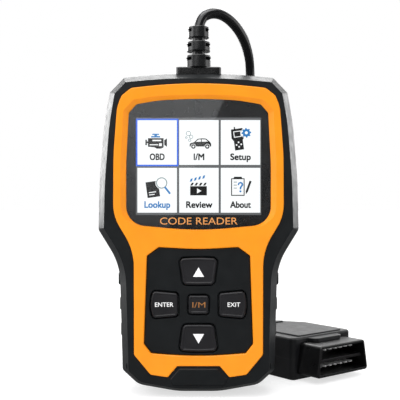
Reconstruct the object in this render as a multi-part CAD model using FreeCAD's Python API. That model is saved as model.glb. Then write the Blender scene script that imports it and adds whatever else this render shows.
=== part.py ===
"""OBD code reader: a hand-held reader with a colour display and five keys, its cable and its 16-pin plug.

Millimetres. The reader stands upright on z = 0 and faces -Y, with +X to its right.
The origin is the bottom centre of the reader's box. Each node is one file in parts/.
"""

import FreeCAD, Part
import math
import os

V = FreeCAD.Vector
TURN = FreeCAD.Rotation

# ---- driving dimensions -------------------------------------------------
# Depths, front to back
Y_FRONT = -17.0
Y_FACE = -16.2
Y_POCKET = -15.0
Y_LENS_BACK = -13.8
Y_MASK_BACK = -13.65
Y_LEDGE = -13.2
Y_LEDGE_BACK = -12.0
Y_FRONT_WALL = -13.0
Y_BOARD = -9.5
Y_BOARD_BACK = -7.9
Y_BEVEL = -5.0
Y_SEAM = -2.0
Y_BAND_END = 9.0
Y_BACK_WALL = 14.8
Y_BACK = 17.0

WALL = 2.2
LABEL_RECESS = 0.5
BEVEL = 4.2
SIDE_DRAFT = 0.3
SEAM_LIP = 1.2
FIT = 0.15
MIN_RADIUS = 0.2

# Display
WINDOW_W = 58.2
WINDOW_H = 45.2
WINDOW_Z = 106.8
LENS_MARGIN = 1.6

# Keys
KEY_GAP = 0.5
KEY_BACK = -12.4
KEY_CHAMFER = 0.5
KEY_Z = 42.9
PILL_R = 2.2
PILL_FRONT = -11.1
PILL_BACK = -10.6
MAT_FRONT = -10.5

# Screws
CASE_SCREWS = [(30.5, 14.0), (41.0, 84.0), (37.0, 137.0)]
BOARD_SCREWS = [(29.0, 60.5), (37.6, 110.0)]
CASE_BOSS_R = 3.2
CASE_PILOT_R = 1.1
CASE_HEAD_R = 2.4
CASE_HEAD_Y = 6.0
CASE_SEAT_Y = CASE_HEAD_Y - 2.0
BOARD_BOSS_R = 2.3
BOARD_PILOT_R = 0.9

# Cable and plug
CABLE_D = 5.0
COIL_CENTRE = V(-9.0, 52.0, 0.0)
COIL_R = 30.0
COIL_HEIGHT = 18.2
PLUG_PLACE = V(64.7, 29.9, 0.0)
PLUG_TURN = 38.6

# ---- outlines in the XZ plane: right half from bottom to top, (x, z, corner radius) ----
SHELL = [
    (10.0, 0.0, 40.0),
    (28.7, 3.3, 9.0),
    (36.4, 10.4, 3.0),
    (37.8, 60.5, 30.0),
    (47.9, 77.0, 4.0),
    (47.4, 100.0, 200.0),
    (45.2, 127.6, 130.0),
    (42.6, 142.2, 1.6),
    (35.6, 149.5, 1.6),
    (0.0, 153.0, 300.0),
]
TRIM = [
    (9.8, 14.65, 0.8),
    (14.2, 9.5, 1.0),
    (22.1, 10.7, 1.8),
    (29.7, 19.9, 2.0),
    (29.8, 68.0, 28.0),
    (39.3, 83.6, 20.0),
    (39.2, 112.0, 150.0),
    (37.5, 134.5, 18.0),
    (35.3, 139.4, 3.0),
    (31.0, 142.8, 4.0),
    (0.0, 146.2, 220.0),
]
WINDOW = [
    (0.0, 76.8, 150.0),
    (33.4, 80.0, 9.0),
    (33.4, 108.0, 100.0),
    (32.2, 131.4, 2.2),
    (28.7, 135.4, 2.2),
    (18.5, 137.2, 60.0),
    (0.0, 138.1, 200.0),
]
SLOPE = [
    (0.0, 76.5, 150.0),
    (35.9, 79.9, 9.6),
    (35.9, 108.0, 100.0),
    (34.6, 132.4, 2.6),
    (30.1, 137.3, 2.6),
    (18.7, 139.0, 60.0),
    (0.0, 139.8, 200.0),
]
KEYPAD = [
    (0.0, 18.6, 200.0),
    (21.8, 20.5, 1.0),
    (25.2, 24.8, 1.0),
    (23.8, 65.5, 1.0),
    (18.3, 69.5, 1.0),
    (0.0, 68.4, 150.0),
]
UP_KEY = [
    (0.0, 52.1, 60.0),
    (7.0, 52.2, 1.9),
    (8.7, 64.2, 1.9),
    (0.0, 64.6, 60.0),
]
ENTER_KEY = [
    (-20.9, 36.7, 1.6),
    (-9.6, 37.7, 1.3),
    (-9.6, 48.1, 1.3),
    (-20.9, 49.1, 1.6),
    (-22.4, 42.9, 16.0),
]
CENTRE_KEY = [
    (-4.5, 38.7, 1.1),
    (4.5, 38.7, 1.1),
    (4.5, 47.1, 1.1),
    (-4.5, 47.1, 1.1),
]


# ---- outline helpers ------------------------------------------------------
def mirrored(half):
    """A closed outline from its right half."""
    left = [(-x, z, r) for x, z, r in reversed(half) if x > 0]
    return half + left


def directions(outline, i):
    """The unit directions of the edges into and out of corner i."""
    found = []
    for a, b in ((i - 1, i), (i, (i + 1) % len(outline))):
        dx = outline[b][0] - outline[a][0]
        dz = outline[b][1] - outline[a][1]
        length = math.hypot(dx, dz)
        found.append((dx / length, dz / length))
    return found


def inset(outline, distance):
    """The outline moved inward, with each corner's radius following it."""
    moved = []
    for i, (x, z, r) in enumerate(outline):
        (ax, az), (bx, bz) = directions(outline, i)
        reach = distance / (1 + ax * bx + az * bz)
        bend = 1 if ax * bz - az * bx > 0 else -1
        radius = max(r - distance * bend, MIN_RADIUS)
        moved.append((x - (az + bz) * reach, z + (ax + bx) * reach, radius))
    return moved


def flipped(outline, middle):
    """The outline turned upside down about the height middle."""
    return [(x, 2 * middle - z, r) for x, z, r in reversed(outline)]


def swapped(outline):
    """The outline mirrored left to right."""
    return [(-x, z, r) for x, z, r in reversed(outline)]


def wire(outline, y, place=None):
    """Straight edges and tangent corner arcs in the plane at depth y."""
    at = place or (lambda x, z: V(x, y, z))
    corners = []
    for i, (x, z, r) in enumerate(outline):
        (ax, az), (bx, bz) = directions(outline, i)
        half = math.acos(max(-1.0, min(1.0, ax * bx + az * bz))) / 2
        reach = r * math.tan(half)
        across = math.hypot(bx - ax, bz - az)
        out = r * (1 / math.cos(half) - 1) / across
        start = (x - ax * reach, z - az * reach)
        middle = (x + (bx - ax) * out, z + (bz - az) * out)
        end = (x + bx * reach, z + bz * reach)
        corners.append((start, middle, end))
    edges = []
    for i, (start, middle, end) in enumerate(corners):
        following = corners[(i + 1) % len(corners)][0]
        edges.append(Part.Arc(at(*start), at(*middle), at(*end)).toShape())
        run = math.dist(end, following)
        whole = math.dist(outline[i][:2], outline[(i + 1) % len(outline)][:2])
        if run > whole - 1e-6 or math.dist(start, following) < 1e-3:
            raise ValueError(f"the corner radii at {outline[i]} leave no straight run")
        edges.append(Part.LineSegment(at(*end), at(*following)).toShape())
    return Part.Wire(edges)


def prism(outline, y0, y1):
    return Part.Face(wire(outline, y0)).extrude(V(0, y1 - y0, 0))


def loft(*sections):
    """A solid through (outline, y) sections with straight sides between them."""
    return Part.makeLoft([wire(outline, y) for outline, y in sections], True, True)


def plan(outline, z0, z1):
    """A prism along Z from an outline given as (x, y, radius)."""
    face = Part.Face(wire(outline, 0, lambda x, y: V(x, y, z0)))
    return face.extrude(V(0, 0, z1 - z0))


def box(x0, x1, y0, y1, z0, z1):
    return Part.makeBox(x1 - x0, y1 - y0, z1 - z0, V(x0, y0, z0))


def rod(radius, x, z, y0, y1):
    """A cylinder along Y."""
    return Part.makeCylinder(radius, y1 - y0, V(x, y0, z), V(0, 1, 0))


def post(radius, x, y, z0, z1):
    """A cylinder along Z."""
    return Part.makeCylinder(radius, z1 - z0, V(x, y, z0), V(0, 0, 1))


def joined(shapes):
    first = shapes[0]
    return first.fuse(shapes[1:]).removeSplitter() if len(shapes) > 1 else first


def group(shapes):
    """Separate solids kept in one node."""
    return Part.makeCompound(shapes)


def both_sides(points):
    return [(s * x, z) for x, z in points for s in (1, -1)]


def rectangle_at(x, half_w, z0, z1, r):
    return [(x - half_w, z0, r), (x + half_w, z0, r), (x + half_w, z1, r), (x - half_w, z1, r)]


def rectangle(half_w, z0, z1, r):
    return rectangle_at(0.0, half_w, z0, z1, r)


SHELL_OUTLINE = mirrored(SHELL)
TRIM_OUTLINE = mirrored(TRIM)
WINDOW_OUTLINE = mirrored(WINDOW)
SLOPE_OUTLINE = mirrored(SLOPE)
KEYPAD_OUTLINE = mirrored(KEYPAD)
KEYS = {
    "up": mirrored(UP_KEY),
    "down": flipped(mirrored(UP_KEY), KEY_Z),
    "enter": ENTER_KEY,
    "exit": swapped(ENTER_KEY),
    "centre": CENTRE_KEY,
}
LENS_OUTLINE = inset(WINDOW_OUTLINE, -LENS_MARGIN)
LABEL_OUTLINE = rectangle(24.8, 84.2, 121.8, 1.4)


def key_middle(outline):
    xs = [p[0] for p in outline]
    zs = [p[1] for p in outline]
    return (min(xs) + max(xs)) / 2, (min(zs) + max(zs)) / 2


# ---- casing ---------------------------------------------------------------
RELIEF_NECK_R = 4.4
RELIEF_ROOT_R = 6.4
RELIEF_ROOT_Z = (146.6, 149.0)
RELIEF_HOLE_TOP = 156.0
GRIP_BARS = [(35.6, 25.8, 32.8), (36.1, 38.1, 44.9), (36.8, 50.3, 56.7)]  # middle x, lowest and highest z
GRIP_BAR_HALF = 1.75
NOTCH_TAB = [(12.0, 5.6, 1.0), (13.2, 8.4, 1.0), (8.9, 13.4, 0.8)]
KEY_ROOM = 1.3
RIB_OUT = 0.6
RIB_IN = 0.3
SIGHT_MARGIN = 1.2
PAST = 1.0  # how far a cut runs past the face it opens


def relief_hole():
    """The round way out for the strain relief, half in each shell."""
    neck = post(RELIEF_NECK_R + FIT, 0, Y_SEAM, RELIEF_ROOT_Z[0] - PAST, RELIEF_HOLE_TOP)
    root = post(RELIEF_ROOT_R + FIT, 0, Y_SEAM, RELIEF_ROOT_Z[0] - FIT, RELIEF_ROOT_Z[1] + FIT)
    return neck.fuse(root)


def screen_opening(margin, radius):
    """The outline of the visible picture, grown by margin."""
    low = WINDOW_Z - WINDOW_H / 2
    return rectangle(WINDOW_W / 2 + margin, low - margin, low + WINDOW_H + margin, radius)


def front_outer():
    return loft(
        (SHELL_OUTLINE, Y_SEAM),
        (inset(SHELL_OUTLINE, SIDE_DRAFT), Y_BEVEL),
        (inset(SHELL_OUTLINE, BEVEL), Y_FACE),
    )


def back_outer():
    """The back cover's outside: a straight band and then four chamfers towards the back."""
    return loft(
        (SHELL_OUTLINE, Y_SEAM),
        (SHELL_OUTLINE, Y_BAND_END),
        (inset(SHELL_OUTLINE, 1.6), 13.6),
        (inset(SHELL_OUTLINE, 3.0), 15.7),
        (inset(SHELL_OUTLINE, 4.4), 16.7),
        (inset(SHELL_OUTLINE, 5.6), Y_BACK),
    )


def front_hollow():
    return loft(
        (inset(SHELL_OUTLINE, WALL), Y_SEAM + 0.01),
        (inset(SHELL_OUTLINE, WALL + SIDE_DRAFT), Y_BEVEL),
        (inset(SHELL_OUTLINE, BEVEL + 1.4), Y_FRONT_WALL),
    )


def back_hollow():
    return loft(
        (inset(SHELL_OUTLINE, WALL), Y_SEAM - 0.01),
        (inset(SHELL_OUTLINE, WALL), Y_BAND_END),
        (inset(SHELL_OUTLINE, WALL + 1.9), 13.6),
        (inset(SHELL_OUTLINE, WALL + 3.0), Y_BACK_WALL),
    )


def front_bosses():
    """Screw bosses, the rib round the key mat and the ledge under the lens."""
    root = Y_FRONT_WALL - 0.5
    found = [rod(CASE_BOSS_R, x, z, root, Y_SEAM) for x, z in both_sides(CASE_SCREWS)]
    found += [rod(BOARD_BOSS_R, x, z, root, Y_BOARD) for x, z in both_sides(BOARD_SCREWS)]
    rib = prism(inset(KEYPAD_OUTLINE, -RIB_OUT), root, MAT_FRONT)
    found.append(rib.cut(prism(inset(KEYPAD_OUTLINE, RIB_IN), root - PAST, MAT_FRONT + PAST)))
    found.append(prism(rectangle(36.4, 74.6, 136.4, 2.0), Y_LEDGE, Y_LEDGE_BACK))
    return found


def face_plateaus():
    """The raised key field, and the small raised tab under the trim's notch."""
    field = loft(
        (inset(KEYPAD_OUTLINE, 0.25), Y_POCKET + 0.2),
        (inset(KEYPAD_OUTLINE, 0.25), Y_FACE + 0.3),
        (inset(KEYPAD_OUTLINE, 0.55), Y_FACE),
    )
    outline = mirrored(NOTCH_TAB)
    tab = loft((outline, Y_FACE + 0.5), (outline, Y_FACE - 0.1), (inset(outline, 0.35), Y_FACE - 0.45))
    return [field, tab]


def key_holes():
    """Through holes with a chamfered mouth and room behind for each key's web."""
    found = []
    for outline in KEYS.values():
        opening = inset(outline, -KEY_GAP)
        found.append(prism(opening, Y_FACE - PAST, MAT_FRONT))
        found.append(loft((inset(opening, -0.45), Y_FACE - 0.01), (opening, Y_FACE + 0.5)))
        found.append(prism(inset(outline, -KEY_ROOM), Y_FRONT_WALL - 0.2, MAT_FRONT))
    return found


def front_shell():
    shell = front_outer().cut(front_hollow()).fuse(front_bosses())
    pocket = prism(inset(TRIM_OUTLINE, -FIT), Y_FACE - PAST, Y_POCKET)
    seat = prism(inset(LENS_OUTLINE, -FIT), Y_FACE - PAST, Y_LEDGE)
    sight = prism(screen_opening(SIGHT_MARGIN, 1.0), Y_FACE - PAST, Y_LEDGE_BACK + PAST)
    shell = shell.cut([pocket, seat, sight]).fuse(face_plateaus())
    holes = key_holes()
    for x, z in both_sides(CASE_SCREWS):
        holes.append(rod(CASE_PILOT_R, x, z, Y_FRONT_WALL + 1.5, Y_SEAM + PAST))
    for x, z in both_sides(BOARD_SCREWS):
        holes.append(rod(BOARD_PILOT_R, x, z, Y_FRONT_WALL - 0.5, Y_BOARD + PAST))
    groove = prism(inset(SHELL_OUTLINE, SEAM_LIP), Y_SEAM - 1.4, Y_SEAM + PAST)
    groove = groove.cut(prism(inset(SHELL_OUTLINE, WALL + 0.5), Y_SEAM - 2, Y_SEAM + 2))
    return shell.cut(holes + [groove, relief_hole()])


def grip_bar(x, low, high):
    """A rounded rib on the casing's side, proud of its straight band."""
    small = rectangle_at(x, GRIP_BAR_HALF - 0.5, low + 0.3, high - 0.3, 0.9)
    large = rectangle_at(x, GRIP_BAR_HALF, low, high, 1.1)
    front = Y_SEAM + 0.6
    back = Y_BAND_END - 0.6
    return loft((small, front), (large, front + 1.0), (large, back - 1.0), (small, back))


def back_shell():
    shell = back_outer().cut(back_hollow())
    added = [rod(CASE_BOSS_R, x, z, Y_SEAM, Y_BACK_WALL + 0.3) for x, z in both_sides(CASE_SCREWS)]
    lip = prism(inset(SHELL_OUTLINE, SEAM_LIP + FIT), Y_SEAM - 1.2, Y_SEAM + 0.5)
    added.append(lip.cut(prism(inset(SHELL_OUTLINE, WALL), Y_SEAM - 2, Y_SEAM + 1)))
    for x, low, high in GRIP_BARS:
        added += [grip_bar(x, low, high), grip_bar(-x, low, high)]
    cuts = [relief_hole()]
    for x, z in both_sides(CASE_SCREWS):
        cuts.append(rod(CASE_HEAD_R + 0.2, x, z, CASE_SEAT_Y, Y_BACK + PAST))
        cuts.append(rod(CASE_PILOT_R + 0.15, x, z, Y_SEAM - 2, CASE_HEAD_Y))
    cuts.append(prism(inset(LABEL_OUTLINE, -0.2), Y_BACK - LABEL_RECESS, Y_BACK + PAST))
    return shell.fuse(added).cut(cuts)


def trim_bezel():
    body = loft(
        (TRIM_OUTLINE, Y_POCKET),
        (TRIM_OUTLINE, Y_FRONT + 0.5),
        (inset(TRIM_OUTLINE, 0.18), Y_FRONT + 0.15),
        (inset(TRIM_OUTLINE, 0.5), Y_FRONT),
    )
    slope = loft((WINDOW_OUTLINE, Y_POCKET + 0.01), (SLOPE_OUTLINE, Y_FRONT - 0.01))
    keypad = loft(
        (KEYPAD_OUTLINE, Y_POCKET + 0.01),
        (KEYPAD_OUTLINE, Y_FRONT + 0.4),
        (inset(KEYPAD_OUTLINE, -0.4), Y_FRONT - 0.01),
    )
    return body.cut([slope, keypad])


def rear_label():
    return prism(LABEL_OUTLINE, Y_BACK - LABEL_RECESS, Y_BACK - LABEL_RECESS + 0.3)


# ---- display ----------------------------------------------------------------
LCD_HALF = 34.4
LCD_Z = (80.4, 131.6)
Y_TRAY = -11.9
Y_BACKLIGHT = -11.0
Y_TRAY_BACK = -9.9


def display_lens():
    return prism(LENS_OUTLINE, Y_POCKET, Y_LENS_BACK)


def lens_mask():
    film = prism(LENS_OUTLINE, Y_LENS_BACK, Y_MASK_BACK)
    return film.cut(prism(screen_opening(0, 0.3), Y_LENS_BACK - PAST, Y_MASK_BACK + PAST))


def lens_tape():
    tape = prism(inset(LENS_OUTLINE, 0.4), Y_MASK_BACK, Y_LEDGE)
    return tape.cut(prism(screen_opening(SIGHT_MARGIN, 0.3), Y_MASK_BACK - PAST, Y_LEDGE + PAST))


def lcd_frame():
    """A pressed steel tray round the display cell, open at its front."""
    outline = rectangle(LCD_HALF, *LCD_Z, 0.8)
    tray = prism(outline, Y_TRAY, Y_TRAY_BACK)
    inside = prism(inset(outline, 0.4), Y_TRAY - PAST, Y_TRAY_BACK - 0.2)
    slot = box(-10.5, 10.5, -11.2, -10.3, LCD_Z[0] - 1, LCD_Z[0] + 1)
    return tray.cut([inside, slot])


def lcd_layer(y0, y1):
    return prism(rectangle(LCD_HALF - 0.5, LCD_Z[0] + 0.5, LCD_Z[1] - 0.5, 0.4), y0, y1)


def lcd_panel():
    return lcd_layer(Y_TRAY + 0.1, Y_BACKLIGHT)


def lcd_backlight():
    return lcd_layer(Y_BACKLIGHT, Y_TRAY_BACK - 0.2)


def lcd_flex():
    return box(-10, 10, -10.8, -10.6, 74.6, LCD_Z[0] + 0.3)


def lcd_socket():
    return box(-11, 11, -11.2, Y_BOARD, 71.6, 75.4).cut(box(-10.1, 10.1, -10.9, -10.5, 74.4, 76))


# ---- keypad -----------------------------------------------------------------
MAT_HOLE = 1.2
PAD_R = 2.4


def keypad_mat():
    """A silicone sheet on the board, open under every key."""
    sheet = prism(KEYPAD_OUTLINE, MAT_FRONT, Y_BOARD)
    holes = [prism(inset(outline, -MAT_HOLE), MAT_FRONT - PAST, Y_BOARD + PAST) for outline in KEYS.values()]
    return sheet.cut(holes)


def key_domes():
    """The thin sloped web that carries each key and springs it back."""
    domes = []
    for outline in KEYS.values():
        outer = loft((inset(outline, -1.15), MAT_FRONT + 0.2), (inset(outline, -0.5), KEY_BACK + 0.02))
        inner = loft((inset(outline, -0.75), MAT_FRONT + 0.3), (inset(outline, -0.05), KEY_BACK - 0.1))
        domes.append(outer.cut(inner))
    return group(domes)


def key_cap(outline):
    cap = loft(
        (outline, KEY_BACK),
        (outline, Y_FRONT + KEY_CHAMFER),
        (inset(outline, 0.2), Y_FRONT + 0.15),
        (inset(outline, KEY_CHAMFER), Y_FRONT),
    )
    dish = loft(
        (inset(outline, KEY_CHAMFER + 0.35), Y_FRONT - 0.01),
        (inset(outline, KEY_CHAMFER + 0.75), Y_FRONT + 0.16),
    )
    x, z = key_middle(outline)
    plunger = rod(PILL_R + 0.3, x, z, KEY_BACK - 0.2, PILL_FRONT)
    return cap.cut(dish).fuse(plunger)


def carbon_pill(outline):
    x, z = key_middle(outline)
    return rod(PILL_R, x, z, PILL_FRONT, PILL_BACK)


def key_contacts():
    """The pair of comb-shaped pads under each key."""
    pads = []
    for outline in KEYS.values():
        x, z = key_middle(outline)
        disc = rod(PAD_R, x, z, Y_BOARD - 0.05, Y_BOARD)
        pads.append(disc.cut(box(x - 0.2, x + 0.2, Y_BOARD - PAST, Y_BOARD, z - PAD_R, z + PAD_R)))
    return group(pads)


# ---- electronics ------------------------------------------------------------
BOARD_TOP = 138.0


def main_board():
    board = prism(inset(SHELL_OUTLINE, 6.4), Y_BOARD, Y_BOARD_BACK)
    front = Y_BOARD - PAST
    back = Y_BOARD_BACK + PAST
    cuts = [rod(CASE_BOSS_R + 0.5, x, z, front, back) for x, z in both_sides(CASE_SCREWS)]
    cuts += [rod(BOARD_PILOT_R + 0.3, x, z, front, back) for x, z in both_sides(BOARD_SCREWS)]
    cuts.append(box(-60, 60, front, back, BOARD_TOP, BOARD_TOP + 30))
    return board.cut(cuts)


# Each chip: middle x and z, half width, half height, thickness, leads a side
CHIPS = {
    "microcontroller": [(0, 104, 7.0, 7.0, 1.4, 16)],
    "flash_memory": [(-19, 104, 2.6, 4.0, 1.2, 4)],
    "bus_transceivers": [(12, 122, 2.0, 2.5, 1.3, 4), (24, 122, 2.0, 2.5, 1.3, 4)],
    "voltage_regulator": [(-22, 123, 3.3, 3.0, 2.2, 3)],
}
LEAD_OUT = 1.0
LEAD_HALF = 0.15
LEAD_THICK = 0.3


def chip(x, z, half_w, half_h, thick, count):
    """A moulded body with its pin-one dot, and gull-wing leads down both sides."""
    back = Y_BOARD_BACK + thick
    body = box(x - half_w, x + half_w, Y_BOARD_BACK, back, z - half_h, z + half_h)
    found = [body.cut(rod(0.5, x - half_w + 1.2, z + half_h - 1.2, back - 0.1, back + PAST))]
    pitch = 2 * (half_h - 0.6) / (count - 1)
    for i in range(count):
        at = z - half_h + 0.6 + i * pitch
        for side in (1, -1):
            x0, x1 = sorted((x + side * half_w, x + side * (half_w + LEAD_OUT)))
            found.append(box(x0, x1, Y_BOARD_BACK, Y_BOARD_BACK + LEAD_THICK, at - LEAD_HALF, at + LEAD_HALF))
    return found


def chips(name):
    return group([solid for place in CHIPS[name] for solid in chip(*place)])


def crystal():
    outline = rectangle_at(16.0, 5.5, 93.0, 97.4, 2.1)
    return prism(outline, Y_BOARD_BACK, Y_BOARD_BACK + 3.4)


def power_inductor():
    core = prism(rectangle_at(-10.0, 3.4, 119.6, 126.4, 1.4), Y_BOARD_BACK, Y_BOARD_BACK + 4.0)
    return core.cut(rod(2.2, -10.0, 123.0, Y_BOARD_BACK + 3.6, Y_BOARD_BACK + 5))


def electrolytic_capacitors():
    places = [(-31, 98), (-31, 90), (30, 100)]
    return group([rod(3.1, x, z, Y_BOARD_BACK, Y_BOARD_BACK + 6.2) for x, z in places])


def ceramic_capacitors():
    found = []
    for i in range(12):
        x = -22 + 4 * i
        found.append(box(x - 0.8, x + 0.8, Y_BOARD_BACK, Y_BOARD_BACK + 0.8, 82.6, 83.4))
    return group(found)


def board_screws():
    found = []
    for x, z in both_sides(BOARD_SCREWS):
        shank = rod(BOARD_PILOT_R - 0.05, x, z, -12.8, Y_BOARD_BACK)
        head = rod(2.0, x, z, Y_BOARD_BACK, Y_BOARD_BACK + 1.4)
        slot = box(x - 1.2, x + 1.2, Y_BOARD_BACK + 0.8, Y_BOARD_BACK + 2, z - 0.25, z + 0.25)
        found.append(shank.fuse(head).cut(slot))
    return group(found)


def case_screws():
    found = []
    for x, z in both_sides(CASE_SCREWS):
        shank = rod(CASE_PILOT_R - 0.05, x, z, -9.5, CASE_SEAT_Y)
        head = rod(CASE_HEAD_R, x, z, CASE_SEAT_Y, CASE_HEAD_Y)
        cross = box(x - 1.4, x + 1.4, CASE_HEAD_Y - 1.0, CASE_HEAD_Y + PAST, z - 0.3, z + 0.3)
        cross = cross.fuse(box(x - 0.3, x + 0.3, CASE_HEAD_Y - 1.0, CASE_HEAD_Y + PAST, z - 1.4, z + 1.4))
        found.append(shank.fuse(head).cut(cross))
    return group(found)


HEADER_Z = (128.5, 133.5)
HARNESS_PLUG_Z = (131.0, 137.4)


def cable_header():
    body = box(-7, 7, Y_BOARD_BACK, -2.4, *HEADER_Z)
    return body.cut(box(-6.2, 6.2, Y_BOARD_BACK + 0.8, -3.2, HEADER_Z[0] + 1, HEADER_Z[1] + 1))


def harness_plug():
    return box(-6.1, 6.1, Y_BOARD_BACK + 0.9, -3.3, *HARNESS_PLUG_Z)


def harness_wires():
    """Wires from the relief's inner end to the harness plug."""
    found = []
    for i in range(5):
        low = V(-4.4 + 2.2 * i, -5.0, HARNESS_PLUG_Z[1])
        high = V(-2.6 + 1.3 * i, Y_SEAM, RELIEF_ROOT_Z[0])
        found.append(Part.makeCylinder(0.55, (high - low).Length, low, high - low))
    return group(found)


# ---- strain reliefs ---------------------------------------------------------
# Each segment: radius, lowest and highest z
RELIEF_SEGMENTS = [(5.95, 154.2, 160.1), (5.64, 162.1, 166.6), (5.05, 168.6, 173.8)]
RELIEF_CORE_R = 3.3
RELIEF_FLANGE = [(-10.8, -6.4, 2.0), (10.8, -6.4, 2.0), (10.8, 3.6, 2.0), (-10.8, 3.6, 2.0)]
RELIEF_FLANGE_Z = (149.6, 154.3)
FLANGE_GAP = 0.03  # between the flange and the casing it is shaped to
RELIEF_SLOT_H = 1.5
RELIEF_SLOT_DOWN = 1.0


def relief_stack():
    """Ribbed segments round a core along Z; each segment has a slot on its left and right."""
    low = RELIEF_SEGMENTS[0][1]
    high = RELIEF_SEGMENTS[-1][2]
    shapes = [post(RELIEF_CORE_R, 0, 0, low, high)]
    slots = []
    for radius, z0, z1 in RELIEF_SEGMENTS:
        ring = post(radius, 0, 0, z0, z1)
        shapes.append(ring.makeFillet(0.3, ring.Edges))
        top = z1 - RELIEF_SLOT_DOWN
        for side in (1, -1):
            x0, x1 = sorted((side * RELIEF_CORE_R, side * (radius + 1)))
            slots.append(box(x0, x1, -radius - 1, 0.35 * radius, top - RELIEF_SLOT_H, top))
    return joined(shapes).cut(slots)


def strain_relief():
    """Moulded relief: inner root, neck through the casing, flange and three segments."""
    stack = relief_stack()
    stack.translate(V(0, Y_SEAM, 0))
    flange = plan(RELIEF_FLANGE, *RELIEF_FLANGE_Z)
    flange = flange.makeFillet(0.4, [e for e in flange.Edges if e.BoundBox.ZMin > RELIEF_FLANGE_Z[1] - 0.01])
    flange = flange.cut([front_outer(), back_outer()])
    flange.translate(V(0, 0, FLANGE_GAP))
    neck = post(RELIEF_NECK_R, 0, Y_SEAM, RELIEF_ROOT_Z[0], RELIEF_FLANGE_Z[1] - 0.5)
    root = post(RELIEF_ROOT_R, 0, Y_SEAM, *RELIEF_ROOT_Z)
    return joined([stack, flange, neck, root])


# ---- cable ------------------------------------------------------------------
COIL_TOP = 15.6
COIL_LOW = CABLE_D / 2
COIL_TURNS = 2.25
COIL_START = -90.0


def coil_point(turned):
    """A point of the coil's middle line after turning clockwise by so many degrees."""
    angle = math.radians(COIL_START - turned)
    z = COIL_TOP - (COIL_TOP - COIL_LOW) * turned / (360 * COIL_TURNS)
    return COIL_CENTRE + V(COIL_R * math.cos(angle), COIL_R * math.sin(angle), z)


# The lead leaves the relief, bends over to the right and hangs behind the reader.
LEAD_ROUTE = [
    V(0.0, -2.0, 171.0),
    V(0.4, -1.8, 177.2),
    V(5.0, 0.0, 181.5),
    V(12.6, 4.2, 181.5),
    V(20.6, 10.0, 175.0),
    V(25.4, 17.5, 165.6),
    V(26.6, 23.6, 154.0),
    V(26.0, 24.4, 132.0),
    V(26.8, 23.4, 106.0),
    V(26.0, 24.2, 82.0),
    V(26.8, 23.4, 58.0),
    V(24.8, 23.6, 38.0),
    V(18.0, 22.8, 24.0),
    V(6.0, 22.4, 17.0),
    V(-9.0, 22.0, 15.6),
]
TAIL_ROUTE = [
    coil_point(360 * COIL_TURNS),
    V(-38.4, 63.0, 2.5),
    V(-34.9, 73.9, 2.5),
    V(-28.6, 83.8, 2.5),
    V(-19.2, 92.2, 2.5),
    V(-7.3, 96.6, 3.0),
    V(5.3, 96.2, 5.6),
    V(17.3, 89.3, 9.2),
    V(24.8, 79.9, 10.6),
]


def cord_tube(name, route):
    """Straight runs joined by tangent arcs, swept by the cable's round section."""
    edges = []
    at = route[0]
    shortest = 1e9
    for before, corner, after in zip(route, route[1:], route[2:]):
        into = corner - before
        out = after - corner
        half = into.getAngle(out) / 2
        radius = 0.45 * min(into.Length, out.Length) / math.tan(half)
        reach = radius * math.tan(half)
        unit_in = V(into).normalize()
        unit_out = V(out).normalize()
        start = corner - unit_in * reach
        end = corner + unit_out * reach
        bisector = (unit_out - unit_in).normalize()
        middle = corner + bisector * radius * (1 / math.cos(half) - 1)
        edges.append(Part.LineSegment(at, start).toShape())
        edges.append(Part.Arc(start, middle, end).toShape())
        print(f"{name} at {corner.x:.1f},{corner.y:.1f},{corner.z:.1f}: radius {radius:.1f}")
        shortest = min(shortest, radius)
        at = end
    edges.append(Part.LineSegment(at, route[-1]).toShape())
    path = Part.Wire(edges)
    first = route[1] - route[0]
    section = Part.Wire(Part.makeCircle(CABLE_D / 2, route[0], first))
    tube = path.makePipeShell([section], True, False)
    expected = math.pi * CABLE_D**2 / 4 * path.Length
    ratio = tube.Volume / expected
    print(f"{name}: length {path.Length:.1f}, smallest radius {shortest:.1f}, volume ratio {ratio:.4f}")
    return tube


def cable_coil():
    outer = Part.makeCylinder(COIL_R + CABLE_D / 2, COIL_HEIGHT, COIL_CENTRE)
    inner = Part.makeCylinder(COIL_R - CABLE_D / 2, COIL_HEIGHT, COIL_CENTRE)
    ring = outer.cut(inner)
    return ring.makeFillet(2.0, ring.Edges)


# ---- plug, in its own frame: faces -Y, rear +Y, bottom z = 0 ------------------
PLUG_H = 21.4
PLUG_SPLIT = 10.6
PLUG_WALL = 1.8
PANEL_TOP = 22.1
PLUG_PLAN = [
    (-22.0, 0.0, 2.5),
    (22.0, 0.0, 2.5),
    (22.0, 33.0, 6.0),
    (12.0, 48.0, 3.0),
    (-12.0, 48.0, 3.0),
    (-22.0, 33.0, 6.0),
]
PANEL_PLAN = [(-16.3, 1.6, 1.0), (16.3, 1.6, 1.0), (16.6, 20.2, 1.2), (-16.6, 20.2, 1.2)]
TONGUE_PLAN = [(-9.6, -4.6, 3.0), (9.6, -4.6, 3.0), (12.4, 3.0, 1.0), (-12.4, 3.0, 1.0)]
TONGUE_TOP = 20.6
REAR_RIB_PLAN = [(-12.6, 40.6, 0.8), (12.6, 40.6, 0.8), (10.4, 44.0, 0.8), (-10.4, 44.0, 0.8)]
SHROUD_TOP = 18.6
SHROUD = [(-19.2, 3.0, 1.6), (19.2, 3.0, 1.6), (16.5, SHROUD_TOP, 1.6), (-16.5, SHROUD_TOP, 1.6)]
SHROUD_DEPTH = 14.0
SHROUD_WALL = 1.3
PIN_PITCH = 4.0
PIN_ROWS = (6.6, 15.0)
PIN_TIP = -7.4
BAR = (15.6, -12.2, 10.1, 11.5)  # half width, front, lowest and highest z
PLUG_SCREWS = [(-16.0, 30.0), (16.0, 30.0)]
PLUG_REAR = 48.0


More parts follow.
